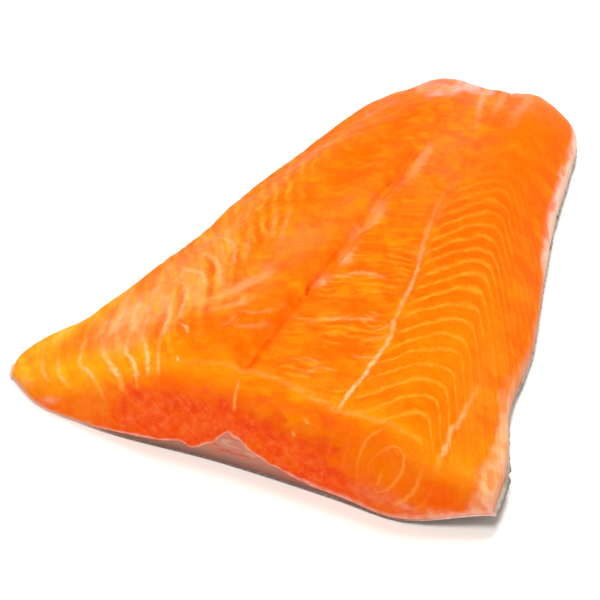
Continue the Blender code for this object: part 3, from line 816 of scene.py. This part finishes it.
def coat(s, t):
    """Paint and line values for vertices of the flesh and the fat. Returns them by attribute name.

    tint is the colour without lines, with a painted sheen, highlight and glow in it; borders, flow and the
    strokes (one of them a painted highlight) are as their functions say; foot is how far a place lies over
    the bottom edge, how strong the pale hem is, and how speckled the cut is.
    """
    x, along = unrolled(s, t)
    colour = tint(x, along, FLESH, PATCHES_AND_PAINTED_LIGHT)
    face = rise(-114, -123, along)
    below = smooth_curve(RED_TOP, x) - along + 1.6 * mottle(x, along, 3.5, 57)
    colour = toward(colour, RED, 0.92 * rise(-1.5, 3.5, below) * between(-40, -32, 37, 44, x))
    beyond = along - smooth_curve(FAR_PINK_FROM, x) + 2.4 * mottle(x, 0.5 * along, 4, 65)
    colour = toward(colour, FAR_PINK, 0.85 * rise(-2, 3, beyond) * between(-6, 0, 60, 70, x))
    frayed = rise(-0.8, 0.1, mottle(x, 0.4 * along, 3, 67))
    colour = toward(colour, FAR_PALE, 0.75 * rise(1, 8, beyond) * between(6, 15, 42, 54, x) * frayed)
    on_top = (1 - face) * (1 - 0.65 * between(38, 46, 64, 70, x)) * (1 - 0.6 * rise(-25, -40, x))
    on_cut = face * (1 - 0.7 * rise(34, 42, x)) * (1 - 0.7 * rise(-36, -46, x))
    for clouds, share in ((CLOUDS, on_top), (FACE_CLOUDS, on_cut)):
        for code, strength, size, seed in clouds:
            cloud = 0.65 * mottle(x + 0.3 * along, along, size, seed)
            cloud = cloud + 0.35 * mottle(x, along, size / 2.4, seed + 1)
            colour = toward(colour, code, strength * share * rise(0.02, 0.6, cloud))

    cover = fat_cover(s, t, x, along)
    fat = toward(np.array(linear(FAT)) + 0 * s[..., None], FAT_RIM, rise(2.5, 0.5, (1 - s) * WIDTH))
    fat = toward(fat, FAT_FAR, rise(-30, 10, along))
    fat = toward(fat, FAT_TIP, 0.85 * bell(0, 1, np.hypot((x - 77) / 7, (along + 129) / 4.5)))
    fat = toward(fat, FAT_ISLAND, 0.5 * rise(0, 0.7, mottle(x, along, 2.6, 64)) * rise(10, -30, along))
    colour = colour + (fat - colour) * cover[..., None]

    over = (surface(s, t) - wedge(s, t)) / (0.8 + 0.6 * rise(16, 30, x) + 0.35 * mottle(x, along, 2.5, 58))
    speckled = rise(-118, -126, along) * (0.25 + 0.75 * rise(-2, 6, below) * between(-48, -34, 30, 40, x))
    speckled = speckled + 0.8 * bell(0, 1, np.hypot((x - 50) / 15, (along + 145) / 4.5))
    foot = np.stack([over, rise(-108, -116, along) * (1 - 0.5 * rise(-35, -50, x)), speckled], -1)
    borders = flake_borders(x, along) * np.stack([1 + 0 * s, 1 - cover, 1 + 0 * s], -1)
    return {
        "tint": colour, "borders": borders, "foot": foot, "flow": flow(x, along, cover),
        "strokes": draw_strokes(x, along, STROKES),
        "strokes_between": draw_strokes(x, along, STROKES_BETWEEN),
    }


def relief(s, t, borders):
    """Low relief in mm: flakes crowned a little between their borders, soft waves, a rough-sided crease."""
    x, along = unrolled(s, t)
    off = np.abs(borders[..., 0] - np.round(borders[..., 0]))
    crown = -0.3 * borders[..., 1] * (1 - rise(0, 0.35, off))
    waves = 0.3 * mottle(x, along, 9, 21) + 0.16 * mottle(x, along, 3.5, 22)
    waves = waves + 0.07 * mottle(x, along, 1.7, 24)
    by_crease = bell(0, 4, x - smooth_curve(CREASE, along)) * between(-112, -104, 20, 60, along)
    return crown + waves + 0.25 * by_crease * mottle(x, along, 2, 23)


def flesh_height(s, t, borders):
    """The flesh's bottom over the skin, and its height over that: the surface with its relief, which dies
    out at the bottom edge."""
    bottom = wedge(s, t) - SINK
    over = surface(s, t) - bottom
    return bottom, np.clip(over + relief(s, t, borders) * rise(0.3, 5, over), 0, None)


def flesh_look():
    """Raw salmon trout muscle, cut and wiped: moist and soft, so light goes into it a little, and its gloss
    is low and uneven. Orange in streaks along the layers, with lines of cream to pink tissue between them.

    Each line is 1 on its middle and eases to 0 at its edge, times its strength and a beaded noise. The lines
    are the flake borders, the pale hem at the foot of the cut and the two lists of strokes, one stroke a
    painted highlight along the cut's top edge. The painted colour under them carries a painted sheen,
    highlight and glow.
    """
    look, nodes = new_look("raw_salmon_trout")
    place = add(nodes, "ShaderNodeTexCoord").outputs["Object"]
    paint = add(nodes, "ShaderNodeAttribute", attribute_name="tint").outputs["Color"]
    flows, border, foot, *both = (
        add(nodes, "ShaderNodeSeparateXYZ", {
            0: add(nodes, "ShaderNodeAttribute", attribute_name=name).outputs["Vector"]
        }).outputs
        for name in ("flow", "borders", "foot", "strokes", "strokes_between")
    )
    streaks = []
    for across, along in STREAKS:
        place_in = add(nodes, "ShaderNodeCombineXYZ", {
            0: add(nodes, "ShaderNodeMath", {0: flows[0], 1: across}, operation="DIVIDE").outputs[0],
            1: add(nodes, "ShaderNodeMath", {0: flows[1], 1: along}, operation="DIVIDE").outputs[0],
        }).outputs[0]
        streaks.append(add(
            nodes, "ShaderNodeTexNoise",
            {"Vector": place_in, "Scale": 1.0, "Detail": 2.0, "Distortion": 0.3},
        ).outputs["Fac"])
    drawn = add(nodes, "ShaderNodeMapping", {"Vector": place, "Scale": (1.0, 0.22, 1.0)}).outputs[0]
    fine, broad, fibre, beads, grain = (
        add(nodes, "ShaderNodeTexNoise", {"Vector": at, "Scale": cells, "Detail": detail}).outputs["Fac"]
        for at, cells, detail in (
            (place, FINE_CELLS, 3.0), (place, BLOTCH_CELLS, 5.0), (drawn, FIBRE_CELLS, 3.0),
            (place, BEAD_CELLS, 2.0), (place, GRAIN_CELLS, 2.0),
        )
    )
    uneven = add(nodes, "ShaderNodeMapRange", {0: beads, 1: 0.36, 2: 0.62, 3: 0.42, 4: 1.1}).outputs[0]

    shift = add(nodes, "ShaderNodeMath", {0: fine, 1: 0.3, 2: -0.15}, operation="MULTIPLY_ADD").outputs[0]
    phase = add(nodes, "ShaderNodeMath", {0: border[0], 1: shift}).outputs[0]
    off = add(nodes, "ShaderNodeMath", {0: phase, 1: 0.5}, operation="PINGPONG").outputs[0]
    over = add(nodes, "ShaderNodeMath", {0: beads, 1: 1.8, 2: foot[0]}, operation="MULTIPLY_ADD").outputs[0]
    lines = [(off, border[2], 0.0, border[1], uneven), (over, 2.5, 1.2, foot[1], uneven)]
    sway = add(nodes, "ShaderNodeMath", {0: fine, 1: 2.4, 2: -1.2}, operation="MULTIPLY_ADD").outputs[0]
    for stroke in both:
        aside = add(nodes, "ShaderNodeMath", {0: stroke[0], 1: sway}).outputs[0]
        aside = add(nodes, "ShaderNodeMath", {0: aside}, operation="ABSOLUTE").outputs[0]
        beaded = add(nodes, "ShaderNodeMix", {0: stroke[2], 2: uneven, 3: 0.8}).outputs[0]
        lines.append((aside, 1.6, 0.0, stroke[1], beaded))
    marks = []
    for aside, edge, middle, strength, beaded in lines:
        mark = add(
            nodes, "ShaderNodeMapRange", {0: aside, 1: edge, 2: middle}, interpolation_type="SMOOTHSTEP"
        ).outputs[0]
        mark = add(nodes, "ShaderNodeMath", {0: mark, 1: strength}, operation="MULTIPLY").outputs[0]
        mark = add(nodes, "ShaderNodeMath", {0: mark, 1: beaded}, operation="MULTIPLY", use_clamp=True)
        marks.append(mark.outputs[0])
    line, hem, *strokes = marks

    tone = 1.0
    for noise, dark, light in ((broad, 0.83, 1.0), (fibre, 0.95, 1.04), (grain, 0.9, 1.08)):
        shade = add(nodes, "ShaderNodeMapRange", {0: noise, 1: 0.3, 2: 0.7, 3: dark, 4: light}).outputs[0]
        tone = add(nodes, "ShaderNodeMath", {0: tone, 1: shade}, operation="MULTIPLY").outputs[0]
    swing = streaks[1]
    for factor, more in ((0.45, streaks[0]), (2.4, -1.74), (flows[2], 1.0)):
        swing = add(
            nodes, "ShaderNodeMath", {0: swing, 1: factor, 2: more}, operation="MULTIPLY_ADD"
        ).outputs[0]
    yellow = add(nodes, "ShaderNodeMath", {0: tone, 1: swing}, operation="MULTIPLY").outputs[0]
    pale = add(nodes, "ShaderNodeMath", {0: yellow, 1: swing}, operation="MULTIPLY").outputs[0]
    tones = add(nodes, "ShaderNodeCombineXYZ", {0: 0.94, 1: yellow, 2: pale}).outputs[0]
    colour = add(nodes, "ShaderNodeVectorMath", {0: paint, 1: tones}, operation="MULTIPLY").outputs[0]

    pink = add(nodes, "ShaderNodeMapRange", {0: streaks[0], 1: 0.5, 2: 0.72}).outputs[0]
    strong = add(nodes, "ShaderNodeMapRange", {0: flows[2], 1: 0.35, 2: 0.8, 4: 0.7}).outputs[0]
    pink = add(nodes, "ShaderNodeMath", {0: pink, 1: strong}, operation="MULTIPLY").outputs[0]
    layers = [(pink, STREAK_PALE)]
    speckles = add(
        nodes, "ShaderNodeTexNoise",
        {"Vector": place, "Scale": BEAD_CELLS, "Detail": 6.0, "Roughness": 0.72},
    ).outputs["Fac"]
    for first, last, share, code in ((0.5, 0.66, 0.45, SPECK_PALE), (0.49, 0.34, 0.6, SPECK_DARK)):
        speck = add(nodes, "ShaderNodeMapRange", {0: speckles, 1: first, 2: last, 4: share}).outputs[0]
        speck = add(nodes, "ShaderNodeMath", {0: speck, 1: foot[2]}, operation="MULTIPLY").outputs[0]
        layers.append((speck, code))
    for share, code in (*layers, (line, BORDER), (hem, FOOT)):
        colour = add(
            nodes, "ShaderNodeMix", {0: share, 6: colour, 7: linear(code)}, data_type="RGBA"
        ).outputs[2]
    for stroke, mark in zip(both, strokes):
        tissue = add(nodes, "ShaderNodeValToRGB", {
            0: add(nodes, "ShaderNodeMapRange", {0: stroke[2], 1: -1, 2: 2}).outputs[0]
        })
        tissue.color_ramp.elements[0].color = linear(DEEP)
        tissue.color_ramp.elements[1].color = linear(RING)
        tissue.color_ramp.elements.new(1 / 3).color = linear(CREAM)
        tissue.color_ramp.elements.new(2 / 3).color = linear(PINK)
        colour = add(
            nodes, "ShaderNodeMix", {0: mark, 6: colour, 7: tissue.outputs[0]}, data_type="RGBA"
        ).outputs[2]

    ribbed = add(nodes, "ShaderNodeMath", {0: streaks[1], 1: flows[2]}, operation="MULTIPLY").outputs[0]
    raised = add(nodes, "ShaderNodeMath", {0: strokes[0], 1: strokes[1]}).outputs[0]
    for height, share in ((fibre, 0.35), (broad, 1.6), (ribbed, 1.5)):
        raised = add(
            nodes, "ShaderNodeMath", {0: height, 1: share, 2: raised}, operation="MULTIPLY_ADD"
        ).outputs[0]
    bump = add(nodes, "ShaderNodeBump", {"Height": raised, "Strength": 0.5, "Distance": 0.0004})
    gloss = add(nodes, "ShaderNodeMapRange", {0: broad, 1: 0.3, 2: 0.7, 3: 0.3, 4: 0.46}).outputs[0]
    shader = add(
        nodes, "ShaderNodeBsdfPrincipled",
        {
            "Base Color": colour, "Roughness": gloss, "IOR": 1.38, "Specular IOR Level": 0.014,
            "Specular Tint": linear(GLOSS), "Normal": bump.outputs[0], "Subsurface Weight": 0.12,
            "Subsurface Radius": (1.0, 0.25, 0.06), "Subsurface Scale": 0.002,
        },
    )
    add(nodes, "ShaderNodeOutputMaterial", {0: shader.outputs[0]})
    return look


# The line of the pin bones is a stroke too, strong near the cut and fainter further on.
STROKES.append((0.7, 1.0, [(place, at) for at, place in reversed(PIN_LINE) if at < -70]))
STROKES_BETWEEN.append((0.8, 0.5, [(place, at) for at, place in reversed(PIN_LINE) if -90 < at < 30]))

s, t, side = flesh_grid()
painted = coat(s, t)
bottom, height = flesh_height(s, t, painted["borders"])
dip = DIP * rise(-0.5, 0, (s - s[:, -1:]) * WIDTH)
upper = over_skin(s, t, bottom + np.clip(height - dip, 0, None) * side)
flesh = add_piece("trout_flesh", upper, over_skin(s, t, bottom), flesh_look(), "flesh", "flesh", painted)

# Edge fat. A strip of pale, pinkish fat along the back edge, widest at the near corner, with small islands of
# muscle in it. It lies between the flesh and the skin, was cut flush with them and follows the flesh's flank.
FAT_ROUND = 1.2  # how far in its outer edge is rounded, in mm
FAT_COLUMNS = 15
FAT_ROWS = (36, 240, 8)

share = np.append(0, np.linspace(0, 1, FAT_COLUMNS) ** 0.7)
near = 1 - smooth_curve(FAT_WIDTH, 0) / WIDTH * (1 - share)
t = rows_along(near, flat, thickness, *FAT_ROWS, CROWD)
width = smooth_curve(FAT_WIDTH, t)
s = 1 - width / WIDTH * (1 - share)
side = bulge((1 - share) * width / FAT_ROUND, 2)
side[:, 0] = 0
painted = coat(s, t)
bottom, height = flesh_height(s, t, painted["borders"])
upper = over_skin(s, t, (bottom + height) * side)
lower = over_skin(s, t, 0 * t - SINK)
add_piece("edge_fat", upper, lower, flesh.data.materials[0], "fat_edge", "fat", painted)

# Table, light and camera. A plain matt white table in even white light, with one soft light high behind the
# fillet and one high in front of it. The camera stands above and in front of the near right corner, aimed
# at the far left.
TABLE = "#fff8f1"
TABLE_RADIUS = 0.75
TABLE_POINTS = 96
SKY = 0.42  # the even light's strength, its strength in gloss, and what the camera sees more of it
SKY_IN_GLOSS = 0.1
SKY_SEEN = 0.6
LIGHTS = (  # name, place and size in metres, power in watts
    ("overhead", (-0.1, 1.1, 2.78), 0.8, 44),
    ("front", (0.0, -0.85, 2.87), 1.0, 48),
)
CAMERA_PLACE = (0.0977, -0.3328, 0.2438)
CAMERA_AIM = (-0.2606, 0.7437, -0.6157)
LENS = 66.66  # in mm, on a sensor 36 mm wide
SENSOR = 36

table_mesh = bpy.data.meshes.new("table")
turns = np.linspace(0, 2 * np.pi, TABLE_POINTS, endpoint=False)
edge = [(TABLE_RADIUS * math.cos(a), TABLE_RADIUS * math.sin(a), 0) for a in turns]
table_mesh.from_pydata(edge, [], [range(TABLE_POINTS)])
table_look, nodes = new_look("matt_white_table")
shader = add(
    nodes, "ShaderNodeBsdfPrincipled",
    {"Base Color": linear(TABLE), "Roughness": 0.7, "Specular IOR Level": 0.1},
)
add(nodes, "ShaderNodeOutputMaterial", {0: shader.outputs[0]})
table_mesh.materials.append(table_look)
table = bpy.data.objects.new("table", table_mesh)
bpy.context.scene.collection.objects.link(table)

world = bpy.data.worlds.new("studio")
world.use_nodes = True
nodes = world.node_tree.nodes
nodes.clear()
rays = add(nodes, "ShaderNodeLightPath")
strength = add(
    nodes, "ShaderNodeMapRange", {0: rays.outputs["Is Glossy Ray"], 3: SKY, 4: SKY_IN_GLOSS}
).outputs[0]
strength = add(
    nodes, "ShaderNodeMath", {0: rays.outputs["Is Camera Ray"], 1: SKY_SEEN, 2: strength},
    operation="MULTIPLY_ADD",
).outputs[0]
sky = add(nodes, "ShaderNodeBackground", {"Color": (1, 1, 1, 1), "Strength": strength})
add(nodes, "ShaderNodeOutputWorld", {0: sky.outputs[0]})
bpy.context.scene.world = world

for name, place, size, power in LIGHTS:
    light = bpy.data.lights.new(name, "AREA")
    light.size = size
    light.energy = power
    lamp = bpy.data.objects.new(name, light)
    lamp.location = place
    lamp.rotation_euler = (-lamp.location).to_track_quat("-Z", "Y").to_euler()
    bpy.context.scene.collection.objects.link(lamp)

camera = bpy.data.objects.new("camera", bpy.data.cameras.new("camera"))
camera.data.lens = LENS
camera.data.sensor_width = SENSOR
camera.data.clip_start = 0.01
camera.location = CAMERA_PLACE
camera.rotation_euler = Vector(CAMERA_AIM).to_track_quat("-Z", "Y").to_euler()
bpy.context.scene.collection.objects.link(camera)
bpy.context.scene.camera = camera
bpy.context.scene.view_settings.view_transform = "Standard"
